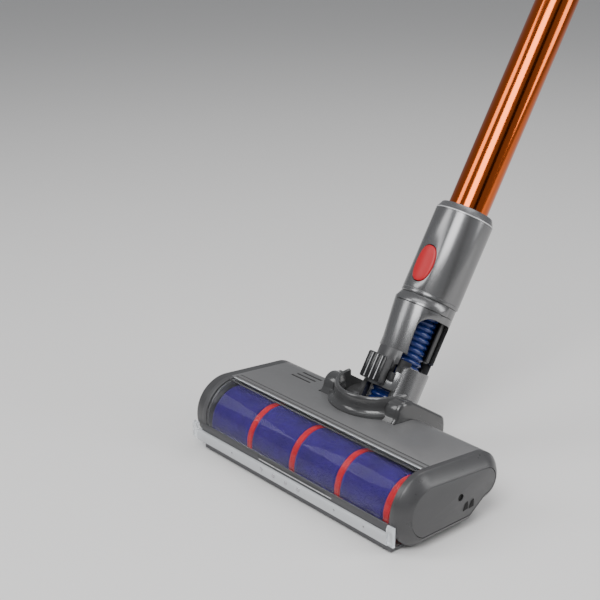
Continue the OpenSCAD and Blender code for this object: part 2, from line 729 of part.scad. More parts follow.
module wand_collar() color([0.45, 0.45, 0.46]) on_neck()
    latch_shell(collar_h0, collar_h1, collar_button_h, -1);

// Upper socket: its lower end holds the wand tube, its upper end takes the inlet pipe
module wand_liner() color([0.3, 0.3, 0.31]) on_neck() difference() {
    union() {
        latch_liner(tube_h1, collar_h1, collar_button_h, -1);
        tube(sleeve_r - shell_t, wand_r, collar_h0, collar_h0 + 3);
        tube(liner_r, wand_r, collar_h0, tube_h1);
    }
    translate([0, 0, tube_h1]) cylinder(r = bore_r + 0.6, h = socket_h0 - tube_h1);
}

module wand_button() color([0.82, 0.12, 0.15]) on_neck() latch_button(collar_button_h, -1);

module wand_spring() color("silver") on_neck() latch_spring(collar_button_h, -1);

module wand_pawl() color([0.15, 0.15, 0.15]) on_neck() latch_pawl(collar_button_h, -1);

sole_plate();
chamber_wall();
suction_duct();
head_top_cover();
vent_gauze();
roller_window();
front_trim_strip();
front_bumper();
bumper_end_tabs();
bumper_studs();
left_end_cap();
left_end_plate();
right_end_cap();
right_end_plate();
end_marks();
cap_screw();
felt_strip();
pivot_saddle();
wheel_axles();
cover_screws();
motor_can();
motor_bracket();
motor_armature();
motor_shaft();
motor_pulley();
drive_belt();
circuit_board();
board_parts();
roller_bearings();
roller_tube();
roller_hubs();
roller_plush();
roller_bands();
roller_pulley();
left_wheel();
right_wheel();
lower_yoke();
pitch_pins();
steer_pins();
ribbed_cap();
suction_hose();
neck_tube();
neck_band();
hose_cuff();
neck_contacts();
release_sleeve();
sleeve_liner();
collar_ring();
release_button();
release_spring();
release_pawl();
wand_spigot();
wand_tube();
wire_duct();
wand_collar();
wand_liner();
wand_button();
wand_spring();
wand_pawl();
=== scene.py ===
import json
import math

import bmesh
import bpy
from mathutils import Matrix, Vector
from mathutils import noise as pile_noise


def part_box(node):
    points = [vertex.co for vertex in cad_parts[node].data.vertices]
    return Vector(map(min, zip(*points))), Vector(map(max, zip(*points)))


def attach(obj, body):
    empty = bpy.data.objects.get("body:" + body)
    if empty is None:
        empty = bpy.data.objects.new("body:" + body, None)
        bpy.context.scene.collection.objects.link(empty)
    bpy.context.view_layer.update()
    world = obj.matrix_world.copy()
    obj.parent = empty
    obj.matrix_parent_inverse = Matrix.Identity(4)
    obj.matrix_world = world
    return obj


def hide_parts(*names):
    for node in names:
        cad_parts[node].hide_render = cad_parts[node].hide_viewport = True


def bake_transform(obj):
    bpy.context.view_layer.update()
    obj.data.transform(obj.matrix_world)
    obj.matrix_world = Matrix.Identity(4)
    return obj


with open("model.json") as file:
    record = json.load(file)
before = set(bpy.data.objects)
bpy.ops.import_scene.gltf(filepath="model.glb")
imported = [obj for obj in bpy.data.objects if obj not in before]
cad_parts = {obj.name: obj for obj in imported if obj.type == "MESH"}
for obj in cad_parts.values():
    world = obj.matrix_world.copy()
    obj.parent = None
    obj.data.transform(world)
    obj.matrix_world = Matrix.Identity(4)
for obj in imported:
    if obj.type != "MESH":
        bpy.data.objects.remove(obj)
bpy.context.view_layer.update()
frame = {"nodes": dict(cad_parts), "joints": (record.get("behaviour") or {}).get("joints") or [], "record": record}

# ---- measures, in millimetres, worked out from the frame -------------------

MM = 0.001
joints = {joint["name"]: joint for joint in frame["joints"]}


def joint_point(name):
    return Vector(joints[name]["pos_m"]) / MM


def node_box(name):
    low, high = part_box(name)
    return low / MM, high / MM


pivot = joint_point("neck_pitch")
steer = joint_point("neck_steer")
roller = joint_point("roller_spin")
neck_up = (steer - pivot).normalized()
neck_back = Vector(joints["neck_steer"]["axis"])
neck_frame = Matrix((
    (1, 0, 0, pivot.x),
    (0, neck_back.y, neck_up.y, pivot.y),
    (0, neck_back.z, neck_up.z, pivot.z),
    (0, 0, 0, 1),
))


def along_neck(name):
    """Lowest and highest place of a node along the neck, from the pitch pivot."""
    heights = [(vertex.co / MM - pivot).dot(neck_up)
               for vertex in frame["nodes"][name].data.vertices]
    return min(heights), max(heights)


cover_high = node_box("head_top_cover")[1]
window_low, window_high = node_box("roller_window")
left_cap_low, left_cap_high = node_box("left_end_cap")
right_cap_low, right_cap_high = node_box("right_end_cap")
plush_low, plush_high = node_box("roller_plush")
band_low, band_high = node_box("roller_bands")
bumper_low, bumper_high = node_box("front_bumper")
trim_low, trim_high = node_box("front_trim_strip")
tab_low, tab_high = node_box("bumper_end_tabs")
saddle_high = node_box("pivot_saddle")[1]
hose_high = node_box("suction_hose")[1]
cap_left = left_cap_high.x
cap_right = right_cap_low.x
head_half = right_cap_high.x
wall = 2.0
front_r = roller.y - window_low.y
front_z = window_high.z - front_r
back_r = 20.5
back_y = cover_high.y - back_r
back_z = 33.8
sole_z = right_cap_low.z
edge_r = 9.0
chamfer_run = 14.0
centre_gap = math.hypot(back_y - roller.y, back_z - front_z)
top_normal = (math.atan2(back_z - front_z, back_y - roller.y)
              + math.acos((front_r - back_r) / centre_gap))
window_end = math.pi + math.asin((front_z - window_low.z) / front_r)
steer_h = (steer - pivot).length
sleeve_h0, sleeve_h1 = along_neck("release_sleeve")
sleeve_r = 25.0
neck_r = 24.0
tube_h1 = along_neck("neck_tube")[1]
ring_h0, ring_h1 = along_neck("collar_ring")
wand_h0, wand_h1 = along_neck("wand_tube")
collar_h0, collar_h1 = along_neck("wand_collar")
button_low, button_high = along_neck("release_button")
button_h = (button_low + button_high) / 2
top_button_low, top_button_high = along_neck("wand_button")
top_button_h = (top_button_low + top_button_high) / 2
wand_r = node_box("wand_tube")[1].x
hose_r = hose_high.x
cheek_r = 33.5
cheek_in = 30.5
cheek_out = saddle_high.x
roller_r = roller.z
saddle_top = saddle_high.z
band_centre_y = pivot.y - 2.4
screw_low, screw_high = node_box("cap_screw")
screw_y = (screw_low.y + screw_high.y) / 2
screw_z = (screw_low.z + screw_high.z) / 2

# ---- mesh helpers ----------------------------------------------------------


def arc(centre, radius, start, stop, steps):
    """Points of an arc in the Y-Z plane, angles from +Y towards +Z."""
    return [
        (centre[0] + radius * math.cos(start + (stop - start) * i / steps),
         centre[1] + radius * math.sin(start + (stop - start) * i / steps))
        for i in range(steps + 1)
    ]


def new_object(name, mesh_or_bmesh):
    if isinstance(mesh_or_bmesh, bmesh.types.BMesh):
        mesh = bpy.data.meshes.new(name)
        mesh_or_bmesh.to_mesh(mesh)
        mesh_or_bmesh.free()
    else:
        mesh = mesh_or_bmesh
    piece = bpy.data.objects.new(name, mesh)
    bpy.context.scene.collection.objects.link(piece)
    return piece


def loft(name, rings, ring_loop=False, to_world=None):
    """A skin over rings of points in millimetres; ring_loop joins the last ring to the first."""
    form = bmesh.new()
    place = to_world or Matrix.Identity(4)
    rows = [[form.verts.new((place @ Vector(point)) * MM) for point in ring] for ring in rings]
    count = len(rows[0])
    spans = list(zip(rows, rows[1:])) + ([(rows[-1], rows[0])] if ring_loop else [])
    for low, high in spans:
        for i in range(count):
            form.faces.new((low[i], low[(i + 1) % count], high[(i + 1) % count], high[i]))
    if not ring_loop:
        form.faces.new(list(reversed(rows[0])))
        form.faces.new(rows[-1])
    bmesh.ops.recalc_face_normals(form, faces=form.faces)
    return new_object(name, form)


def prism_x(name, outline, x0, x1, to_world=None):
    """An outline of (y, z) points carried from x0 to x1."""
    return loft(name, [[(x, y, z) for y, z in outline] for x in (x0, x1)], to_world=to_world)


def circle(radius, steps):
    """Points round a circle."""
    angles = [2 * math.pi * i / steps for i in range(steps)]
    return [(radius * math.cos(a), radius * math.sin(a)) for a in angles]


def lathe(name, outline, steps, squeeze=None):
    """A closed (radius, height) outline turned about the neck's axis.
    squeeze(angle, radius) returns the radius at that angle."""
    rings = []
    for i in range(steps):
        angle = 2 * math.pi * i / steps
        rings.append([about_neck(squeeze(angle, radius) if squeeze else radius, angle, height)
                      for radius, height in outline])
    return loft(name, rings, ring_loop=True, to_world=neck_frame)


def neck_point(x, y, height):
    return neck_frame @ Vector((x, y, height))


def about_neck(radius, angle, height):
    """A place in the neck's frame; the angle is taken from straight in front."""
    return (radius * math.sin(angle), -radius * math.cos(angle), height)


def side_name(name, side):
    return name + ("_right" if side > 0 else "_left")


def end_name(name, side):
    return name + ("_back" if side > 0 else "_front")


def tube_outline(inner, outer, low, high, soft=0.6, steps=4):
    """The section of a tube with its outer edges rounded."""
    lower = arc((outer - soft, low + soft), soft, -math.pi / 2, 0, steps)
    upper = arc((outer - soft, high - soft), soft, 0, math.pi / 2, steps)
    return [(inner, low)] + lower + upper + [(inner, high)]


def box_piece(name, low, high, to_world=None):
    """A block between two corners."""
    ring = [(low[0], low[1]), (high[0], low[1]), (high[0], high[1]), (low[0], high[1])]
    return loft(name, [[(x, y, z) for x, y in ring] for z in (low[2], high[2])], to_world=to_world)


def neck_block(name, low, high):
    """A block between two corners in the neck's frame."""
    return box_piece(name, low, high, neck_frame)


def rod(name, radius, start, stop, steps=96):
    """A straight round bar between two points."""
    start, stop = Vector(start), Vector(stop)
    turn = (stop - start).to_track_quat("Z", "Y").to_matrix().to_4x4()
    place = Matrix.Translation(start) @ turn
    rings = [[(x, y, z) for x, y in circle(radius, steps)] for z in (0, (stop - start).length)]
    return loft(name, rings, to_world=place)


def baked(piece):
    """Turns the piece's modifiers into plain mesh."""
    graph = bpy.context.evaluated_depsgraph_get()
    graph.update()
    mesh = bpy.data.meshes.new_from_object(piece.evaluated_get(graph))
    piece.modifiers.clear()
    old = piece.data
    piece.data = mesh
    bpy.data.meshes.remove(old)
    return piece


def boolean(piece, others, operation):
    for other in others:
        step = piece.modifiers.new("Shape", "BOOLEAN")
        step.object = other
        step.operation = operation
        step.solver = "EXACT"
        baked(piece)
        bpy.data.objects.remove(other)
    return piece


def carved(piece, *cutters):
    return boolean(piece, cutters, "DIFFERENCE")


def joined(piece, *others):
    return boolean(piece, others, "UNION")


def kept_within(piece, other):
    return boolean(piece, [other], "INTERSECT")


def softened(piece, width=0.5, segments=2, angle=35):
    """Rounds the sharp edges and shades the rest smooth."""
    form = bmesh.new()
    form.from_mesh(piece.data)
    bmesh.ops.remove_doubles(form, verts=form.verts, dist=2e-6)
    bmesh.ops.dissolve_degenerate(form, edges=form.edges, dist=2e-6)
    form.to_mesh(piece.data)
    form.free()
    if width:
        bevel = piece.modifiers.new("Soft edges", "BEVEL")
        bevel.width = width * MM
        bevel.segments = segments
        bevel.limit_method = "ANGLE"
        bevel.angle_limit = math.radians(angle)
        bevel.use_clamp_overlap = True
        bevel.harden_normals = False
        baked(piece)
    piece.data.shade_smooth()
    piece.data.set_sharp_from_angle(angle=math.radians(angle))
    return piece


def finished(piece, body, look, *replaced, slot=None):
    """Gives a piece its material, its body and the designed nodes that it stands for.
    The slot argument is not used."""
    piece.data.materials.clear()
    piece.data.materials.append(finish[look])
    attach(piece, body)
    if replaced:
        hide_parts(*replaced)


# ---- shared shader groups --------------------------------------------------


def shader_group(name, inputs, outputs):
    group = bpy.data.node_groups.new(name, "ShaderNodeTree")
    for label, kind, value in inputs:
        socket = group.interface.new_socket(label, in_out="INPUT", socket_type=kind)
        socket.default_value = value
    for label, kind in outputs:
        group.interface.new_socket(label, in_out="OUTPUT", socket_type=kind)
    return group, group.nodes.new("NodeGroupInput"), group.nodes.new("NodeGroupOutput")


def feed(tree, node, values):
    """Sets inputs of a node: each to a plain value, or to another node's output."""
    for label, value in values.items():
        if isinstance(value, bpy.types.NodeSocket):
            tree.links.new(value, node.inputs[label])
        else:
            node.inputs[label].default_value = value


def wired(tree, kind, result, values, operation=None):
    """Adds a shader node with its inputs set, and returns one of its outputs."""
    node = tree.nodes.new("ShaderNode" + kind)
    if operation:
        node.operation = operation
    feed(tree, node, values)
    return node.outputs[result]


def noise(tree, vector, scale, detail=3.0, roughness=0.55):
    return wired(tree, "TexNoise", "Fac", {"Vector": vector, "Scale": scale, "Detail": detail,
                                           "Roughness": roughness})


def spread(tree, value, low, high):
    """Remaps 0.3 to 0.7, where noise mostly lies, to low to high."""
    return wired(tree, "MapRange", "Result", {"Value": value, "From Min": 0.3, "From Max": 0.7,
                                              "To Min": low, "To Max": high})


def arithmetic(tree, operation, *values):
    return wired(tree, "Math", 0, dict(enumerate(values)), operation)


def scaled_color(tree, color, value):
    """The colour made lighter or darker by a value about 1."""
    return wired(tree, "VectorMath", 0, {0: color, "Scale": value}, "SCALE")


def bumped(tree, height, strength, distance):
    return wired(tree, "Bump", "Normal", {"Height": height, "Strength": strength,
                                          "Distance": distance})


def object_place(group):
    return group.nodes.new("ShaderNodeTexCoord").outputs["Object"]


def make_moulded_group():
    """Moulded plastic: fine spark texture, slow tone changes, handling marks and rubbed edges."""
    group, given, result = shader_group(
        "Moulded surface",
        [("Color", "NodeSocketColor", (0.5, 0.5, 0.5, 1)), ("Roughness", "NodeSocketFloat", 0.4),
         ("Texture Scale", "NodeSocketFloat", 1800), ("Texture Depth", "NodeSocketFloat", 0.2),
         ("Tone Change", "NodeSocketFloat", 0.05), ("Edge Wear", "NodeSocketFloat", 0.3)],
        [("Color", "NodeSocketColor"), ("Roughness", "NodeSocketFloat"),
         ("Normal", "NodeSocketVector")],
    )
    place = object_place(group)
    slow = noise(group, place, 14.0, 4.0)
    marks = noise(group, place, 90.0, 6.0, 0.7)
    fine = noise(group, place, given.outputs["Texture Scale"], 2.0)
    tone_low = arithmetic(group, "SUBTRACT", 1.0, given.outputs["Tone Change"])
    tone_high = arithmetic(group, "ADD", 1.0, given.outputs["Tone Change"])
    tone = spread(group, slow, tone_low, tone_high)
    surface = group.nodes.new("ShaderNodeNewGeometry")
    edge = wired(group, "MapRange", "Result", {"Value": surface.outputs["Pointiness"],
                                               "From Min": 0.52, "From Max": 0.62})
    wear = arithmetic(group, "MULTIPLY", edge, spread(group, marks, 0.3, 1.0))
    wear = arithmetic(group, "MULTIPLY", wear, given.outputs["Edge Wear"])
    lift = arithmetic(group, "MULTIPLY_ADD", wear, 0.9, tone)
    rough_change = spread(group, marks, -0.06, 0.07)
    feed(group, result, {
        "Color": scaled_color(group, given.outputs["Color"], lift),
        "Roughness": arithmetic(group, "ADD", given.outputs["Roughness"], rough_change),
        "Normal": bumped(group, fine, given.outputs["Texture Depth"], 0.00008),
    })
    return group


def make_pile_group():
    """Short pile: tufts, brushed patches and a soft broken surface."""
    group, given, result = shader_group(
        "Pile surface",
        [("Color", "NodeSocketColor", (0.1, 0.1, 0.4, 1)),
         ("Tip Color", "NodeSocketColor", (0.2, 0.2, 0.6, 1)),
         ("Tuft Scale", "NodeSocketFloat", 900), ("Depth", "NodeSocketFloat", 0.6)],
        [("Color", "NodeSocketColor"), ("Normal", "NodeSocketVector")],
    )
    place = object_place(group)
    tufts = noise(group, place, given.outputs["Tuft Scale"], 4.0, 0.65)
    patches = noise(group, place, 60.0, 3.0)
    share = arithmetic(group, "MULTIPLY", spread(group, tufts, 0.0, 1.0),
                       spread(group, patches, 0.35, 1.0))
    mix = group.nodes.new("ShaderNodeMix")
    mix.data_type = "RGBA"
    feed(group, mix, {"Factor": share, "A": given.outputs["Color"],
                      "B": given.outputs["Tip Color"]})
    feed(group, result, {
        "Color": mix.outputs["Result"],
        "Normal": bumped(group, tufts, given.outputs["Depth"], 0.0016),
    })
    return group


def make_drawn_group():
    """Drawn or brushed metal: fine lines along the neck and faint tone bands."""
    group, given, result = shader_group(
        "Drawn metal",
        [("Color", "NodeSocketColor", (0.8, 0.3, 0.1, 1)), ("Roughness", "NodeSocketFloat", 0.25),
         ("Line Depth", "NodeSocketFloat", 0.1), ("Tone Change", "NodeSocketFloat", 0.025)],
        [("Color", "NodeSocketColor"), ("Roughness", "NodeSocketFloat"),
         ("Normal", "NodeSocketVector")],
    )
    turned = group.nodes.new("ShaderNodeMapping")
    turned.vector_type = "TEXTURE"
    feed(group, turned, {"Vector": object_place(group),
                         "Rotation": (math.atan2(neck_back.z, neck_back.y), 0, 0)})
    stretched = wired(group, "Mapping", "Vector", {"Vector": turned.outputs["Vector"],
                                                   "Scale": (1, 1, 0.02)})
    lines = noise(group, stretched, 2600.0, 3.0)
    bands = noise(group, stretched, 160.0, 2.0)
    tone_low = arithmetic(group, "SUBTRACT", 1.0, given.outputs["Tone Change"])
    tone = spread(group, bands, tone_low, 1.0)
    rough_change = spread(group, lines, -0.015, 0.02)
    feed(group, result, {
        "Color": scaled_color(group, given.outputs["Color"], tone),
        "Roughness": arithmetic(group, "ADD", given.outputs["Roughness"], rough_change),
        "Normal": bumped(group, lines, given.outputs["Line Depth"], 0.00005),
    })
    return group


groups = {"moulded": make_moulded_group(), "pile": make_pile_group(), "drawn": make_drawn_group()}

# ---- materials -------------------------------------------------------------


def blank_material(name):
    material = bpy.data.materials.new(name)
    material.use_nodes = True
    tree = material.node_tree
    return material, tree, tree.nodes["Principled BSDF"]


def grouped_material(name, kind, values, principled_values):
    """A Principled material whose varying sockets come from one of the shared groups."""
    material, tree, principled = blank_material(name)
    group = tree.nodes.new("ShaderNodeGroup")
    group.node_tree = groups[kind]
    feed(tree, group, {label: (*value, 1) if isinstance(value, tuple) else value
                       for label, value in values.items()})
    feed(tree, principled, {"Base Color": group.outputs["Color"],
                            "Normal": group.outputs["Normal"]})
    if "Roughness" in group.outputs:
        feed(tree, principled, {"Roughness": group.outputs["Roughness"]})
    feed(tree, principled, principled_values)
    material.diffuse_color = (*values["Color"], 1)
    return material


def spaced(settings):
    """Socket names from keyword names."""
    return {label.replace("_", " "): value for label, value in settings.items()}


def plastic(name, color, roughness=0.42, texture=0.25, wear=0.25, **more):
    values = {"Color": color, "Roughness": roughness, "Texture Depth": texture, "Edge Wear": wear}
    return grouped_material(name, "moulded", values, spaced(more))


def metal(name, color, roughness=0.25, lines=0.1, metallic=1.0):
    values = {"Color": color, "Roughness": roughness, "Line Depth": lines}
    return grouped_material(name, "drawn", values, {"Metallic": metallic})


def pile(name, color, tip, depth=0.6, sheen=0.5, tuft=900.0):
    values = {"Color": color, "Tip Color": tip, "Depth": depth, "Tuft Scale": tuft}
    settings = {"Roughness": 0.85, "Sheen Weight": sheen, "Sheen Roughness": 0.4,
                "Specular IOR Level": 0.2}
    return grouped_material(name, "pile", values, settings)


def clear_plastic(name, color, roughness, transmission, ior=1.49):
    """Clear moulding that lets light through, so that what is behind it stays bright."""
    material, tree, principled = blank_material(name)
    place = object_place(tree)
    scratches = noise(tree, place, 700.0, 5.0)
    feed(tree, principled, {
        "Base Color": (*color, 1),
        "Roughness": spread(tree, noise(tree, place, 40.0, 3.0), roughness, roughness + 0.04),
        "Normal": bumped(tree, scratches, 0.04, 0.00005),
        "Transmission Weight": transmission,
        "IOR": ior,
    })
    shadow_tint = (*[0.4 + 0.6 * c for c in color], 1)
    open_light = wired(tree, "BsdfTransparent", "BSDF", {"Color": shadow_tint})
    path = tree.nodes.new("ShaderNodeLightPath")
    mix = wired(tree, "MixShader", "Shader", {"Fac": path.outputs["Is Shadow Ray"],
                                              1: principled.outputs["BSDF"], 2: open_light})
    feed(tree, tree.nodes["Material Output"], {"Surface": mix})
    material.diffuse_color = (*color, 0.4)
    return material


finish = {
    "housing_grey": plastic("Housing grey", (0.125, 0.125, 0.127), 0.34, 0.2, 0.25),
    "cap_grey": plastic("Cap grey", (0.05, 0.05, 0.052), 0.32, 0.2, 0.35),
    "plate_grey": plastic("Plate grey", (0.06, 0.06, 0.062), 0.38, 0.2, 0.2),
    "neck_grey": metal("Neck grey", (0.19, 0.19, 0.193), 0.24, 0.03, 0.75),
    "saddle_grey": plastic("Saddle grey", (0.042, 0.042, 0.043), 0.22, 0.08, 0.35, Coat_Weight=0.4),
    # ring_silver and ring_grey also colour the light strips that are painted highlights on the window's edges
    "ring_silver": plastic("Ring silver and painted highlight", (0.55, 0.55, 0.56), 0.28, 0.08, 0.2, Metallic=0.3),
    "ring_grey": metal("Ring grey and painted highlight", (0.2, 0.2, 0.205), 0.26, 0.05, 0.7),
    # also used for near-black walls and floors that are painted shade in the neck and its notches
    "inner_black": plastic("Inner black and painted shade", (0.02, 0.02, 0.022), 0.45, 0.4, 0.1),
    "bar_black": plastic("Bar black", (0.008, 0.008, 0.009), 0.25, 0.15, 0.1),
    "sole_grey": plastic("Sole grey", (0.06, 0.06, 0.063), 0.45, 0.35, 0.2),
    # near-black, also used as painted shade in the cooling slots and on the cap screw
    "mark_black": plastic("Mark black and painted shade", (0.004, 0.004, 0.004), 0.8, 0.1, 0.0),
    "button_red": plastic("Button red", (0.48, 0.005, 0.012), 0.45, 0.1, 0.1),
    "rubber": plastic("Rubber", (0.02, 0.02, 0.02), 0.7, 0.6, 0.1),
    "hose_blue": plastic("Hose blue", (0.008, 0.022, 0.13), 0.2, 0.06, 0.1, Coat_Weight=0.3),
    "board_green": plastic("Board green", (0.01, 0.11, 0.05), 0.35, 0.2, 0.0),
    "wand_copper": metal("Wand copper", (0.55, 0.11, 0.022), 0.12, 0.06),
    "steel": metal("Bright steel", (0.5, 0.5, 0.52), 0.22, 0.12),
    "copper_coil": metal("Copper winding", (0.7, 0.32, 0.14), 0.35, 0.5),
    "brass": metal("Turned brass", (0.72, 0.55, 0.25), 0.25, 0.2),
    "plush": pile("Violet plush", (0.007, 0.002, 0.045), (0.034, 0.011, 0.19), 1.0, 0.06, 620.0),
    "band_red": pile("Red filament", (0.28, 0.004, 0.01), (0.42, 0.01, 0.02), 0.6, 0.06),
    "felt": pile("Dark felt", (0.02, 0.02, 0.022), (0.06, 0.06, 0.065), 0.8, 0.3, 1500.0),
    "clear_window": clear_plastic("Clear window", (0.96, 0.97, 0.98), 0.02, 1.0, 1.17),
    "milky_clear": clear_plastic("Milky clear", (0.66, 0.68, 0.7), 0.2, 0.25),
    "clear_tab": clear_plastic("Clear tab", (0.88, 0.9, 0.92), 0.05, 0.7),
}

# ---- housing ---------------------------------------------------------------


def profile(inset=0.0, steps=40):
    """Outline of the housing in the Y-Z plane, inset all round."""
    lower = math.pi + math.asin((front_z - sole_z - inset) / (front_r - inset))
    return (arc((back_y, back_z), back_r - inset, -math.pi / 2, top_normal, steps // 2)
            + arc((roller.y, front_z), front_r - inset, top_normal, lower, steps)
            + [(back_y - chamfer_run - 0.3 * inset, sole_z + inset)])


def saddle_room(margin=0.3):
    """Room in the housing for the cheeks."""
    reach = cheek_out + margin
    return rod("Room", cheek_r + margin, (-reach, pivot.y, pivot.z), (reach, pivot.y, pivot.z), 128)


def top_frame():
    """Frame on the flat top of the housing: Z away from it, origin on the roller's line."""
    return (Matrix.Translation((0, roller.y, front_z))
            @ Matrix.Rotation(top_normal - math.pi / 2, 4, "X"))


def make_cover():
    """Top and back of the housing, with the grooves behind the window and the cooling slots, whose near-black
    floors are painted shade.
    """
    groove_y, groove_w, groove_depth = (2.2, 6.8), 1.8, 1.4
    slot_half, slot_pitch, slot_length = 1.1, 5.7, 24
    slot_start, slot_y = cap_left + 25, roller.y + 48
    outer = arc((back_y, back_z), back_r, -math.pi / 2, top_normal, 40)
    inner = arc((back_y, back_z), back_r - wall, top_normal, -math.pi / 2, 40)
    bridge = [(roller.y + r * math.cos(top_normal), front_z + r * math.sin(top_normal))
              for r in (front_r, front_r - wall)]
    shell = prism_x("Cover_shell", outer + bridge + inner, cap_left, cap_right)
    grooves = [box_piece("Groove", (cap_left + 3, y, front_r - groove_depth),
                         (cap_right + 1, y + groove_w, front_r + 2), top_frame())
               for y in groove_y]
    slots = []
    for i in range(3):
        x, y = slot_start + i, slot_y + slot_pitch * i
        slots.append(box_piece("Slot", (x, y - slot_half, 40),
                               (x + slot_length, y + slot_half, 70)))
    opening = box_piece("Opening", (-cheek_out - 0.3, band_centre_y, 20), (cheek_out + 0.3, 60, 80))
    carved(shell, saddle_room(), opening, *grooves, *slots)
    softened(shell, 0.35, 2)
    # near-black floors just under the slot mouths: painted shade inside the cooling slots
    for i in range(3):
        x, y = slot_start + i, slot_y + slot_pitch * i
        top = (front_z + front_r * math.sin(top_normal)
               - (y - roller.y - front_r * math.cos(top_normal)) / math.tan(top_normal))
        slot_shade_floor = box_piece(f"Slot_shade_floor_{i + 1}", (x - 1, y - slot_half - 0.5, top - 2.6),
                                (x + slot_length + 1, y + slot_half + 0.5, top - 0.75))
        finished(slot_shade_floor, "head", "mark_black")
    finished(shell, "head", "housing_grey", "head_top_cover")


def make_window():
    """Clear shell over the roller, with polished edges."""
    outer = arc((roller.y, front_z), front_r, top_normal, window_end, 64)
    inner = arc((roller.y, front_z), front_r - wall, window_end, top_normal, 64)
    shell = prism_x("Window_shell", outer + inner, cap_left + 5, cap_right)
    finished(softened(shell, 0.45, 3), "head", "clear_window", "roller_window")


def make_window_arch():
    """Dark arch that holds the window at the drive end."""
    outer = arc((roller.y, front_z), front_r + 0.15, top_normal, window_end, 64)
    inner = arc((roller.y, front_z), front_r - wall - 1.2, window_end, top_normal, 64)
    arch = prism_x("Window_arch", outer + inner, cap_left, cap_left + 5)
    finished(softened(arch, 0.3, 2), "head", "sole_grey")


def make_window_sill():
    """Polished rail along the back edge of the window."""
    ring = []
    for rise, turn in ((-0.2, 0.0), (0.35, 0.004), (0.35, 0.036), (-0.2, 0.04)):
        angle, radius = top_normal + turn, front_r + rise
        ring.append((roller.y + radius * math.cos(angle), front_z + radius * math.sin(angle)))
    rail = prism_x("Window_sill", ring, cap_left + 5, cap_right)
    finished(softened(rail, 0.15, 2), "head", "clear_tab", slot="clear_window")


def make_trim_strip():
    """Dark strip under the window, with its slot and light rib."""
    low, high = trim_low, trim_high
    front = low.y
    outline = [(high.y, low.z), (front, low.z), (front + 0.4, high.z - 2.0), (front + 1.4, high.z),
               (high.y, high.z)]
    strip = prism_x("Trim_strip", outline, cap_left, cap_right)
    slot = box_piece("Slot", (-35, front - 1, low.z + 3), (45, front + 1.2, low.z + 5))
    carved(strip, slot)
    finished(softened(strip, 0.25, 2), "head", "sole_grey", "front_trim_strip")
    rib = box_piece("Trim_rib", (-34, front - 0.1, low.z + 2.1), (52, front + 0.5, low.z + 2.7))
    finished(softened(rib, 0.1, 1), "head", "ring_silver", slot="milky_clear")


def make_window_edge_highlights():
    """Thin light strips that paint the highlights on the window's polished edges: along its top, and round its
    left end.
    """
    outer_r, rim_x = front_r + 0.05, (cap_left + 2.2, cap_left + 2.7)
    # light strips along the window's top: painted highlights of its polished edge
    for name, y, thick in (("Window_highlight_top", -1.5, 0.4), ("Window_highlight_lower", -6.0, 0.25)):
        edge = box_piece(name, (cap_left + 3, y, front_r - 1.2),
                         (cap_right - 0.5, y + thick, outer_r), top_frame())
        finished(softened(edge, 0.1, 1), "head", "ring_grey", slot="ring_silver")
    # light arc round the window's left end: painted highlight of its polished edge
    rings = []
    for i in range(49):
        angle = top_normal - 0.12 + (window_end - 0.35 - top_normal) * i / 48
        rings.append([(x, roller.y + r * math.cos(angle), front_z + r * math.sin(angle))
                      for r, x in ((front_r - 1.8, rim_x[0]), (outer_r, rim_x[0]),
                                   (outer_r, rim_x[1]), (front_r - 1.8, rim_x[1]))])
    left_edge_highlight = loft("Window_highlight_left", rings)
    finished(softened(left_edge_highlight, 0.1, 1), "head", "ring_silver")


def make_bumper():
    """Milky strip along the front, with a bright rolled upper edge and small studs."""
    low, high = bumper_low, bumper_high
    outline = [(high.y, low.z), (low.y + 1.2, low.z), (low.y, low.z + 1.6), (low.y, high.z - 0.9),
               (low.y + 0.5, high.z), (high.y, high.z)]
    strip = prism_x("Bumper_strip", outline, low.x, high.x)
    finished(softened(strip, 0.3, 2), "head", "milky_clear", "front_bumper")
    small, large = 0.8, 1.7
    stud_z = (low.z + high.z) / 2 + 1.2
    dome = ((1.0, -0.6), (1.0, 0.2), (0.9, 0.4), (0.6, 0.52), (0.2, 0.58))
    studs = ((-66, small), (-28, large), (-13, large), (2, large), (17, large), (58, small),
             (90, small))
    for i, (x, radius) in enumerate(studs):
        rings = [[(x + u, low.y - out, stud_z + v) for u, v in circle(radius * k, 32)]
                 for k, out in dome]
        stud = loft(f"Bumper_stud_{i + 1}", rings)
        finished(softened(stud, 0), "head", "steel", "bumper_studs")


def make_tabs():
    """Clear corner blocks at the two ends of the bumper."""
    for name, x0, x1, top in (("Tab_right", bumper_high.x, tab_high.x, tab_high.z),
                              ("Tab_left", tab_low.x, bumper_low.x, tab_high.z - 1)):
        depth = (tab_low.y, tab_high.y)
        outline = [(depth[1], tab_low.z), (depth[0] + 0.8, tab_low.z), (depth[0], tab_low.z + 1),
                   (depth[0], top - 3), (depth[0] + 1.2, top), (depth[1], top)]
        block = prism_x(name, outline, x0, x1)
        notch = box_piece("Notch", (x0 + 1.6, depth[0] - 1, tab_low.z + 3),
                          (x1 - 1.6, depth[0] + 0.8, top - 4))
        carved(block, notch)
        softened(block, 0.35, 2)
        replaced = ["bumper_end_tabs"] if name == "Tab_right" else []
        finished(block, "head", "clear_tab", *replaced, slot="milky_clear")


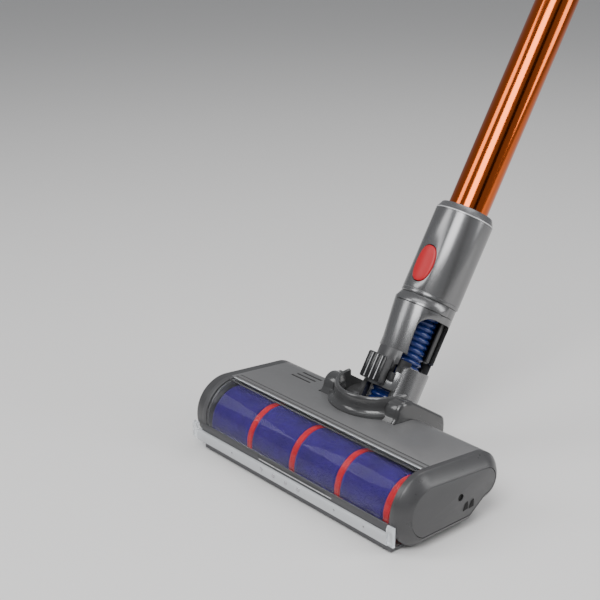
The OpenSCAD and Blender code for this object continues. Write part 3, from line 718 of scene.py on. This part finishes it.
def make_cap(name, side, width, node, plate_node):
    """Hollow end cap with a wide rounded edge, and the flat oval plate let into it."""
    joint_x = side * (head_half - width)
    steps = 12

    def station(depth, inset):
        return [(joint_x + side * depth, y, z) for y, z in profile(inset, 48)]

    bevel = ((0, 0), (0.5, 0.12), (1.0, 0.4), (2.2, 1.3), (4.0, 2.9), (5.8, 4.7), (7.3, 6.5),
             (8.3, 8.0), (8.8, 9.0), (9.0, 9.5))
    rings = [station(0, wall), station(0, 0.0), station(0.35, 0.0)]
    for depth, inset in bevel:
        rings.append(station(width - edge_r + depth, inset))
    rings.append(station(width - 1.0, edge_r + 0.6))
    hollow = edge_r - wall
    closing = station(width - wall, edge_r + 0.6)
    inside = []
    for i in range(steps, -1, -1):
        angle = math.pi / 2 * i / steps
        inside.append(station(width - edge_r + hollow * math.sin(angle),
                              wall + hollow * (1 - math.cos(angle))))
    cap = loft(name, rings + [closing] + inside, ring_loop=True)
    finished(softened(cap, 0), "head", "cap_grey", node)
    plate_rings = [station(width - 1.0, edge_r + 0.9), station(width - 0.25, edge_r + 0.9),
                   station(width, edge_r + 1.3)]
    plate = loft(name.replace("Cap", "Plate"), plate_rings)
    if side > 0:
        carved(plate, rod("Screw_hole", 2.9, (joint_x, screw_y, screw_z),
                          (head_half + 2, screw_y, screw_z), 40))
    finished(softened(plate, 0), "head", "plate_grey", plate_node)


make_window_edge_highlights()
make_cover()
make_window()
make_window_arch()
make_window_sill()
make_trim_strip()
make_bumper()
make_tabs()
make_cap("Cap_left", -1, cap_left - left_cap_low.x, "left_end_cap", "left_end_plate")
make_cap("Cap_right", 1, right_cap_high.x - cap_right, "right_end_cap", "right_end_plate")

# ---- saddle, yoke and ribbed cap -------------------------------------------


def cheek_outline(inset=0.0):
    """Outline of a cheek: round about the pivot, raised at the front, sloping down to the back."""
    bump_y, bump_z, bump_r = pivot.y - 13.4, pivot.z + cheek_r - 9, 10 - inset
    slope = math.radians(-33.5)
    edge_normal = Vector((-math.sin(slope), math.cos(slope)))
    edge_point = Vector((pivot.y - 8.4, pivot.z + cheek_r + 1.5)) - Vector((pivot.y, pivot.z))
    reach = edge_normal.dot(edge_point) - inset
    points = []
    for i in range(120):
        angle = 2 * math.pi * i / 120
        ray = Vector((math.cos(angle), math.sin(angle)))
        radius = cheek_r - inset
        to_bump = Vector((bump_y - pivot.y, bump_z - pivot.z))
        along = ray.dot(to_bump)
        across = to_bump.length_squared - along * along
        if along > 0 and across < bump_r * bump_r:
            radius = max(radius, along + math.sqrt(bump_r * bump_r - across))
        facing = ray.dot(edge_normal)
        if facing > 1e-6 and ray.x > -0.28:
            radius = min(radius, reach / facing)
        points.append((pivot.y + radius * ray.x, pivot.z + radius * ray.y))
    return points


def make_saddle():
    """Cradle of the neck: cheeks, the pan between them and the curved front band."""
    outer, inner, foot = 35.0, 31.0, 5.0
    wall_section = [(inner, 40), (outer + foot, 40), (outer + foot, 53.0)]
    for i in range(9):
        angle = math.pi / 2 * i / 8
        wall_section.append((outer + foot * (1 - math.sin(angle)),
                             58.5 + foot * (1 - math.cos(angle)) * 1.2))
    wall_section += [(outer - 0.1, saddle_top - 2.4), (outer - 0.6, saddle_top - 0.9),
                     (outer - 1.6, saddle_top), (outer - 2.8, saddle_top - 0.1),
                     (inner, saddle_top - 0.9)]
    rings = []
    steps = 72
    for i in range(steps + 1):
        angle = math.pi + math.pi * i / steps
        rings.append([(r * math.cos(angle), band_centre_y + r * math.sin(angle), z)
                      for r, z in wall_section])
    band = loft("Saddle", rings)
    cheeks = []
    for side in (-1, 1):
        stations = [(cheek_in, 0.0), (cheek_out - 3.2, 0.0), (cheek_out - 1.6, 0.5),
                    (cheek_out - 0.5, 1.6), (cheek_out, 3.0)]
        cheeks.append(loft("Cheek", [[(side * x, y, z) for y, z in cheek_outline(inset)]
                                     for x, inset in stations]))
    pan_outer = arc((pivot.y, pivot.z), cheek_r - 0.4, math.radians(142), math.radians(292), 50)
    pan_inner = arc((pivot.y, pivot.z), 27.5, math.radians(292), math.radians(142), 50)
    pan = prism_x("Pan", pan_outer + pan_inner, -cheek_in - 1, cheek_in + 1)
    joined(band, *cheeks, pan)
    hub_reach = cheek_in - 0.2
    hub_room = rod("Hub_room", 22.5, (-hub_reach, pivot.y, pivot.z), (hub_reach, pivot.y, pivot.z))
    floor_cut = box_piece("Floor_cut", (-60, -40, -5), (60, 100, 2))
    hose_room = rod("Hose_room", hose_r + 2.6, (0, roller.y, 33), (0, pivot.y, 33))
    wheel_y, wheel_z = pivot.y + 8.6, 7
    wheel_rooms = [rod("Wheel_room", 8, (side * 33.2, wheel_y, wheel_z),
                       (side * 41.3, wheel_y, wheel_z), 48) for side in (-1, 1)]
    carved(band, hub_room, floor_cut, hose_room, *wheel_rooms)
    finished(softened(band, 0.5, 2, 40), "head", "saddle_grey", "pivot_saddle", slot="cap_grey")


def rounded_box_outline(half, low, high, corner, steps=6):
    """(y, z) outline of a slab with its two upper corners rounded."""
    right = arc((half - corner, high - corner), corner, 0, math.pi / 2, steps)
    left = arc((corner - half, high - corner), corner, math.pi / 2, math.pi, steps)
    return [(half, low)] + right + left + [(-half, low)]


def make_yoke():
    """Fork of the neck: hubs in the cheeks, two ridged legs, the ring and its ears."""

    def ridged(angle, radius):
        if radius < 20:
            return radius
        ridge_angle, ridge_depth = math.radians(72), 0.45
        return radius - ridge_depth * (1 - math.cos(4 * (angle - ridge_angle)))

    ring_bottom, ring_top, leg_top, leg_half = steer_h - 21, steer_h - 5, steer_h + 2.2, 16.5
    leg_in, hub_out, hub_radius = 17.2, 30, 22
    legs = lathe("Yoke", tube_outline(leg_in, 25.0, -6, leg_top, 0.5), 160, squeeze=ridged)
    above = neck_block("Above", (-40, -40, ring_top), (40, 40, 90))
    leg_outline = rounded_box_outline(leg_half, -7, leg_top + 1, 6)
    carved(above, prism_x("Leg_sides", leg_outline, -50, 50, neck_frame))
    below = neck_block("Below", (-40, -40, -40), (40, 40, ring_bottom))
    carved(below, neck_block("Leg_feet", (-50, -leg_half, -60), (50, leg_half, 60)))
    carved(legs, above, below,
           neck_block("Between_low", (-13.2, -30, -40), (13.2, 30, ring_bottom)),
           neck_block("Between_high", (-14.3, -40, steer_h - 11), (14.3, 40, 90)))
    hubs = [rod("Hub", hub_radius, (side * leg_in, pivot.y, pivot.z),
                (side * hub_out, pivot.y, pivot.z), 128) for side in (-1, 1)]
    for side in (-1, 1):
        outline = [(-9, ring_bottom), (9, ring_bottom)] + arc((0, steer_h), 9, 0, math.pi, 24)
        rings = [[(x, side * y, z) for x, z in outline] for y in (17, 19.6)]
        ear = loft(end_name("Ear", side), rings, to_world=neck_frame)
        finished(softened(ear, 0.3, 2), "carriage", "inner_black")
    joined(legs, *hubs)
    carved(legs, rod("Pitch_bore", 4.0, (-40, pivot.y, pivot.z), (40, pivot.y, pivot.z), 48),
           rod("Steer_bore", 2.5, neck_point(0, -40, steer_h), neck_point(0, 40, steer_h), 32))
    finished(softened(legs, 0.5, 2), "carriage", "neck_grey", "lower_yoke")


def make_ribbed_cap():
    """Block over the steering pin: glossy black bars with light lines between them."""
    low, high, block_half = -32.8, steer_h + 3.5, 10.8
    block = neck_block("Ribbed_block", (-block_half, low + 0.9, steer_h - 19),
                       (block_half, -24.3, high))
    finished(softened(block, 1.0, 3), "carriage", "cap_grey", "ribbed_cap", slot="inner_black")
    pitch, bar_half, line_half = 5.4, 2.15, 0.35
    for i in range(4):
        x = (i - 1.5) * pitch
        bar = neck_block(f"Ribbed_bar_{i + 1}", (x - bar_half, low, steer_h - 18.3),
                         (x + bar_half, low + 1.6, high - 0.7))
        finished(softened(bar, 0.5, 2), "carriage", "bar_black", slot="inner_black")
    for i in range(3):
        x = (i - 1) * pitch
        line = neck_block(f"Ribbed_line_{i + 1}", (x - line_half, low, steer_h - 18),
                          (x + line_half, low + 1.2, high - 1))
        finished(softened(line, 0.15, 1), "carriage", "ring_silver")


# ---- neck, sleeve, ring and wand -------------------------------------------


def make_neck_tube():
    """Neck tube: windows for the hose on both sides, a tongue front and back, a fuller front."""
    top, bottom, bore_r = tube_h1, steer_h + 11, 20.0
    window_back, window_front, window_foot, corner = 16.8, 20.6, 17.2, 9.0
    outer = [(0.01, bottom), (neck_r - 0.6, bottom), (neck_r, bottom + 0.6), (neck_r, top - 0.25),
             (neck_r - 0.25, top), (0.01, top)]
    tube = lathe("Neck_tube", outer, 128)
    angles = [2 * math.pi * i / 96 for i in range(96)]
    low_ring = [about_neck(23.8, a, steer_h + 16) for a in angles]
    high_ring = [(x, y - 4, h) for x, y, h in [about_neck(24.5, a, top - 0.2) for a in angles]]
    bulge = loft("Bulge", [low_ring, high_ring], to_world=neck_frame)
    carved(bulge, neck_block("Back_half", (-40, -8, 0), (40, 60, 300)))
    for side in (-1, 1):
        outline = (arc((0, steer_h), 10, math.pi, 2 * math.pi, 24)
                   + [(13.2, steer_h + 1), (13.2, steer_h + 13),
                      (-13.2, steer_h + 13), (-13.2, steer_h + 1)])
        rings = [[(x, side * y, z) for x, z in outline] for y in (20.1, 26)]
        tongue = loft(end_name("Tongue", side), rings, to_world=neck_frame)
        outside = rod("Outside", neck_r - 0.06, neck_point(0, 0, 20), neck_point(0, 0, 90), 128)
        kept_within(tongue, outside)
        finished(softened(tongue, 0.3, 2), "neck", "cap_grey")
    joined(tube, bulge)
    window = (arc((window_back - corner, top - 15), corner, 0, math.pi / 2, 8)
              + arc((corner - window_front, top - 15), corner, math.pi / 2, math.pi, 8)
              + [(-window_foot, 52), (-window_foot, 20), (window_back, 20)])
    carved(tube, prism_x("Window_cut", window, -40, 40, neck_frame))
    carved(tube, rod("Bore", bore_r, neck_point(0, 0, 20), neck_point(0, 0, 120), 96))
    finished(softened(tube, 0.45, 2), "neck", "neck_grey", "neck_tube")


def curved_wall(name, inner, outer, low, high, start, turn, steps):
    """Part of a tube about the neck, over a turn given in degrees."""
    outline = [(inner, low), (outer, low), (outer, high), (inner, high)]
    rings = [[about_neck(r, math.radians(start + turn * i / steps), h) for r, h in outline]
             for i in range(steps + 1)]
    return loft(name, rings, to_world=neck_frame)


def make_neck_shade_linings():
    """Near-black inner wall behind the hose, painted shade inside the tube, with a light rib on each side,
    and near-black walls and floors beside the ribbed cap, painted shade in the notches."""
    # near-black wall inside the tube behind the hose: painted shade
    back_shade_wall = curved_wall("Neck_shade_lining", 18.6, 19.9, steer_h + 12, tube_h1, 100, 160, 48)
    finished(softened(back_shade_wall, 0.2, 1), "neck", "inner_black")
    rib_r, rib_angle = 18.2, math.radians(112)
    for side in (-1, 1):
        # near-black floor and wall in each notch beside the ribbed cap: painted shade in the gap
        near, far = sorted((side * 10.9, side * 14.6))
        notch_shade_floor = neck_block(side_name("Notch_shade_floor", side), (near, -24.2, steer_h - 14),
                            (far, -18.5, steer_h - 6.5))
        finished(softened(notch_shade_floor, 0.4, 2), "carriage", "inner_black")
        inner = curved_wall(side_name("Notch_shade_wall", side), 16.3, 16.9, steer_h - 12, steer_h + 6,
                            side * 30, side * 36, 16)
        finished(softened(inner, 0.1, 1), "carriage", "inner_black")
        x, y, _ = about_neck(rib_r, side * rib_angle, 0)
        rib = neck_block(side_name("Lining_rib", side), (x - 0.5, y - 0.35, steer_h + 13),
                         (x + 0.5, y + 0.35, tube_h1 - 6))
        finished(softened(rib, 0.15, 1), "neck", "ring_silver")


def make_neck_band():
    """Short band between the neck tube and the sleeve, full at the front like the tube."""
    section = ((20, tube_h1 + 0.2, 0), (neck_r - 0.3, tube_h1 + 0.2, 4.2),
               (neck_r, tube_h1 + 0.5, 4.2), (neck_r, tube_h1 + 2.6, 4.0),
               (neck_r, sleeve_h0 - 0.4, 0.6),
               (neck_r - 0.3, sleeve_h0, 0.4), (20, sleeve_h0, 0))
    rings = []
    for i in range(128):
        angle = 2 * math.pi * i / 128
        front = max(0.0, math.cos(angle)) ** 0.6
        rings.append([about_neck(radius + extra * front, angle, height)
                      for radius, height, extra in section])
    band = loft("Neck_band", rings, ring_loop=True, to_world=neck_frame)
    finished(softened(band, 0), "neck", "neck_grey", "neck_band")


def oval(scale, length=15.5, width=9.0, steps=64):
    """A long rounded outline, fuller than an ellipse."""
    points = []
    for i in range(steps):
        c, s = math.cos(2 * math.pi * i / steps), math.sin(2 * math.pi * i / steps)
        points.append((width * scale * math.copysign(abs(c) ** 0.8, c),
                       length * scale * math.copysign(abs(s) ** 0.86, s)))
    return points


def make_sleeve(name, h0, h1, button_at, node, button_name, button_body):
    """Sleeve with a recessed oval opening, its domed button and a thin rim line."""
    inside, groove = sleeve_r - 1.2, sleeve_r - 0.25
    outline = [(inside, h0), (sleeve_r - 0.7, h0), (sleeve_r, h0 + 0.7), (sleeve_r, h0 + 2.6),
               (groove, h0 + 2.9), (groove, h0 + 3.4), (sleeve_r, h0 + 3.7),
               (sleeve_r, h1 - 0.9), (sleeve_r - 0.9, h1), (inside, h1)]
    sleeve = lathe(name, outline, 160)
    cutter = loft("Opening", [[(x, y, button_at + z) for x, z in oval(1.045)] for y in (-40, -15)],
                  to_world=neck_frame)
    carved(sleeve, cutter)
    finished(softened(sleeve, 0.35, 2), "neck", "neck_grey", node)
    dome = ((1.0, 22.6), (1.0, 25.2), (0.985, 25.6), (0.95, 25.85), (0.8, 26.0), (0.5, 26.12),
            (0.2, 26.18))
    rings = [[(x, -math.sqrt(radius * radius - x * x), button_at + z) for x, z in oval(scale)]
             for scale, radius in dome]
    button = loft(button_name, rings, to_world=neck_frame)
    finished(softened(button, 0), button_body, "button_red", button_body)


def make_ring():
    """Bevelled ring on top of the sleeve, with a bright line at its foot."""
    outline = [(17.5, ring_h0), (24.7, ring_h0), (24.75, ring_h0 + 0.6), (24.4, ring_h0 + 1.1),
               (22.3, ring_h1 - 0.5), (21.7, ring_h1), (17.5, ring_h1)]
    ring = lathe("Bevel_ring", outline, 160)
    finished(softened(ring, 0), "neck", "ring_grey", "collar_ring", slot="ring_silver")
    line = lathe("Rim_line", [(24.2, ring_h0 - 0.5), (25.05, ring_h0 - 0.5), (25.1, ring_h0),
                              (24.9, ring_h0 + 0.4), (24.2, ring_h0 + 0.4)], 160)
    finished(softened(line, 0), "neck", "ring_silver")


def make_wand():
    """Thin drawn tube, rolled over at both ends."""
    inside, rolled = wand_r - 1.2, 0.4
    outline = [(inside, wand_h0), (wand_r - rolled, wand_h0), (wand_r, wand_h0 + rolled),
               (wand_r, wand_h1 - rolled), (wand_r - rolled, wand_h1), (inside, wand_h1)]
    tube = lathe("Wand", outline, 160)
    finished(softened(tube, 0), "neck", "wand_copper", "wand_tube")


def hose_path():
    """Gives place(length), which returns a point and a direction on the middle of the hose,
    then the whole length and the length at the steering pins."""
    bend_r, hose_in = 22.0, 33.0
    lean = math.atan2(neck_up.y, neck_up.z)
    turn = math.pi / 2 - lean
    cross = (hose_in - pivot.z) / math.cos(lean)
    run = bend_r * math.tan(turn / 2)
    bend_y = pivot.y + cross * math.sin(lean) - run
    start = pivot.y - 27.5
    straight = bend_y - start
    bent = bend_r * turn
    rise = along_neck("suction_hose")[1] - cross - run
    top = Vector((0, pivot.y, pivot.z)) + neck_up * (cross + run)

    def place(length):
        if length < straight:
            return Vector((0, start + length, hose_in)), Vector((0, 1, 0))
        if length < straight + bent:
            angle = (length - straight) / bend_r
            sine, cosine = math.sin(angle), math.cos(angle)
            return (Vector((0, bend_y + bend_r * sine, hose_in + bend_r * (1 - cosine))),
                    Vector((0, cosine, sine)))
        return top + neck_up * (length - straight - bent), neck_up

    return place, straight + bent + rise, straight + bent + steer_h - cross - run


def make_hose_part(name, place, start, stop):
    """Ribbed hose: rounded hoops with narrow valleys between them."""
    pitch, steps, sides = 4.9, 10, 72
    count = int(round((stop - start) / pitch * steps))
    rings, inner = [], []
    for i in range(count + 1):
        length = start + (stop - start) * i / count
        centre, direction = place(length)
        side = Vector((1, 0, 0))
        up = side.cross(direction)
        wave = abs(math.sin(math.pi * length / pitch)) ** 0.7
        for store, radius in ((rings, hose_r - 2.1 + 1.9 * wave),
                              (inner, hose_r - 3.6 + 1.4 * wave)):
            store.append([centre + side * u + up * v for u, v in circle(radius, sides)])
    hose = loft(name, rings + inner[::-1], ring_loop=True)
    softened(hose, 0, angle=60)
    hose.data.materials.append(finish["hose_blue"])
    return hose


def make_hose():
    """Two lengths of hose, split near the steering pins: the lower one turns up by the pitch pins, the upper one
    runs straight up the neck.
    """
    place, total, at_steer = hose_path()
    lower = make_hose_part("Hose_lower", place, 0.0, at_steer - 4)
    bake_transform(lower)
    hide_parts("suction_hose")
    upper = make_hose_part("Hose_upper", place, at_steer - 4, total)
    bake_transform(upper)


# ---- roller ----------------------------------------------------------------


def pile_radius(x, angle):
    """Radius of the pile's surface, with brushed patches and a finer unevenness."""
    base, patch_height, tuft_height = roller_r - 0.55, 0.3, 0.22
    patch = Vector((x * 0.09, 2.4 * math.cos(angle), 2.4 * math.sin(angle)))
    tuft = Vector((x * 0.5, 13 * math.cos(angle), 13 * math.sin(angle)))
    return (base + patch_height * pile_noise.noise(patch)
            + tuft_height * pile_noise.noise(tuft))


def make_pile(name, x0, x1, inner_r, look, node, lift=0.0):
    """Pile sleeve between two places along the roller, standing lift above the rest."""
    sides, mesh_step, end_drop = 260, 1.1, 0.5
    across = max(2, int((x1 - x0) / mesh_step))
    angles = [2 * math.pi * k / sides for k in range(sides)]
    xs = [x0 + (x1 - x0) * i / across for i in range(across + 1)]

    def roller_ring(x, radius_at):
        return [(x, roller.y + radius_at(a) * math.cos(a), roller.z + radius_at(a) * math.sin(a))
                for a in angles]

    rings = []
    for x in xs:
        rise = lift - (end_drop if x in (xs[0], xs[-1]) else 0.0)
        rings.append(roller_ring(x, lambda a: pile_radius(x, a) + rise))
    inner = [roller_ring(x, lambda a: inner_r) for x in (x1, x0)]
    piece = loft(name, rings + inner, ring_loop=True)
    piece.data.shade_smooth()
    finished(piece, "roller", look, node)


def make_roller():
    """Violet pile sleeves with the red filament bands between them."""
    band_w, count = 6.0, 4
    plush_depth, band_depth, band_lift = 4, 2.05, 0.15
    pitch = (band_high.x - band_low.x - band_w) / (count - 1)
    edges = [plush_low.x]
    for i in range(count):
        edges += [band_low.x + pitch * i, band_low.x + pitch * i + band_w]
    edges.append(plush_high.x)
    for i in range(count + 1):
        make_pile(f"Plush_{i + 1}", edges[2 * i], edges[2 * i + 1], roller_r - plush_depth,
                  "plush", "roller_plush")
    for i in range(count):
        make_pile(f"Red_band_{i + 1}", edges[2 * i + 1], edges[2 * i + 2], roller_r - band_depth,
                  "band_red", "roller_bands", band_lift)


make_saddle()
make_yoke()
make_ribbed_cap()
make_neck_tube()
make_neck_shade_linings()
make_neck_band()
make_sleeve("Sleeve", sleeve_h0, sleeve_h1, button_h, "release_sleeve",
            "Release_button", "release_button")
make_ring()
make_wand()
make_sleeve("Upper_collar", collar_h0, collar_h1, top_button_h, "wand_collar",
            "Upper_button", "wand_button")
make_hose()
make_roller()

# ---- materials of the pieces that stay as designed -------------------------

slots = {part["node"]: part["material_slot"] for part in frame["record"]["subparts"]}
slot_finish = {"tube_plastic": "rubber", "rubber_black": "rubber"}
for node_name, node_object in frame["nodes"].items():
    slot_name = slots.get(node_name, "inner_black")
    node_object.data.materials.clear()
    node_object.data.materials.append(finish[slot_finish.get(slot_name, slot_name)])
# the cap screw is made near-black so that its hole reads as a dark dot: painted shade
frame["nodes"]["cap_screw"].data.materials[0] = finish["mark_black"]

# ---- floor, light and camera -----------------------------------------------


def make_floor():
    """A wide pale ground."""
    form = bmesh.new()
    bmesh.ops.create_grid(form, x_segments=1, y_segments=1, size=6.0)
    floor = new_object("Floor", form)
    material, tree, principled = blank_material("Pale floor")
    feed(tree, principled, {"Base Color": (0.8, 0.79, 0.78, 1), "Roughness": 0.6})
    floor.data.materials.append(material)


def soft_box(name, place, target, size, power):
    lamp = bpy.data.lights.new(name, "AREA")
    lamp.shape = "RECTANGLE"
    lamp.size, lamp.size_y = size
    lamp.energy = power
    holder = bpy.data.objects.new(name, lamp)
    bpy.context.scene.collection.objects.link(holder)
    holder.location = place
    holder.rotation_mode = "QUATERNION"
    holder.rotation_quaternion = (Vector(target) - Vector(place)).to_track_quat("-Z", "Y")


def toward(turn, height):
    """The way to a place seen from the object, by its turn from in front and height angle."""
    turn, height = math.radians(turn), math.radians(height)
    return Vector((math.sin(turn) * math.cos(height), -math.cos(turn) * math.cos(height),
                   math.sin(height)))


def around(turn, height, distance):
    """A place round the neck."""
    return Vector((0, 0, 0.2)) + toward(turn, height) * distance


def dark_card(name, place, target, size):
    """A black card that the shiny pieces mirror, out of the picture."""
    width, height = size
    form = bmesh.new()
    turn = (Vector(target) - Vector(place)).to_track_quat("Z", "Y").to_matrix().to_4x4()
    spot = Matrix.Translation(place) @ turn
    form.faces.new([form.verts.new(spot @ Vector((x * width / 2, y * height / 2, 0)))
                    for x, y in ((-1, -1), (1, -1), (1, 1), (-1, 1))])
    card = new_object(name, form)
    material, tree, principled = blank_material(name)
    feed(tree, principled, {"Base Color": (0.01, 0.01, 0.01, 1), "Roughness": 0.9})
    card.data.materials.append(material)
    card.visible_shadow = False
    card.visible_diffuse = False
    card.visible_camera = False


def make_camera():
    """Seen from the front right, a little above, with the head low in the frame."""
    back, distance, roll = toward(49.26, 20.13), 1.3152, math.radians(0.17)
    target = Vector((-0.27225, roller.y * MM + 0.21889, 0.030))
    camera = bpy.data.objects.new("Camera", bpy.data.cameras.new("Camera"))
    bpy.context.scene.collection.objects.link(camera)
    camera.data.lens = 74.74
    camera.data.sensor_width = 36.0
    camera.location = target + back * distance
    camera.rotation_mode = "QUATERNION"
    facing = (-back).to_track_quat("-Z", "Y")
    camera.rotation_quaternion = facing @ Matrix.Rotation(-roll, 3, "Z").to_quaternion()
    camera.data.clip_end = 30.0
    bpy.context.scene.camera = camera


def make_world():
    world = bpy.data.worlds.new("Studio")
    bpy.context.scene.world = world
    world.use_nodes = True
    feed(world.node_tree, world.node_tree.nodes["Background"],
         {"Color": (0.9, 0.92, 0.95, 1), "Strength": 0.34})


make_floor()
make_world()
look_at = (0.0, 0.05, 0.25)
soft_box("Key", around(34, 46, 1.5), look_at, (0.75, 0.75), 17)
soft_box("Side", around(128, 22, 1.5), look_at, (0.5, 1.1), 9)
soft_box("Left", around(-38, 38, 1.7), look_at, (0.6, 0.9), 8)
soft_box("Back", around(185, 55, 1.8), look_at, (1.2, 0.8), 8)
soft_box("Top", around(20, 76, 1.5), look_at, (1.3, 0.45), 6)
dark_card("Card right", around(84, 14, 1.4), look_at, (0.34, 1.3))
dark_card("Card left", around(-3, 10, 1.7), look_at, (0.36, 1.2))
make_camera()
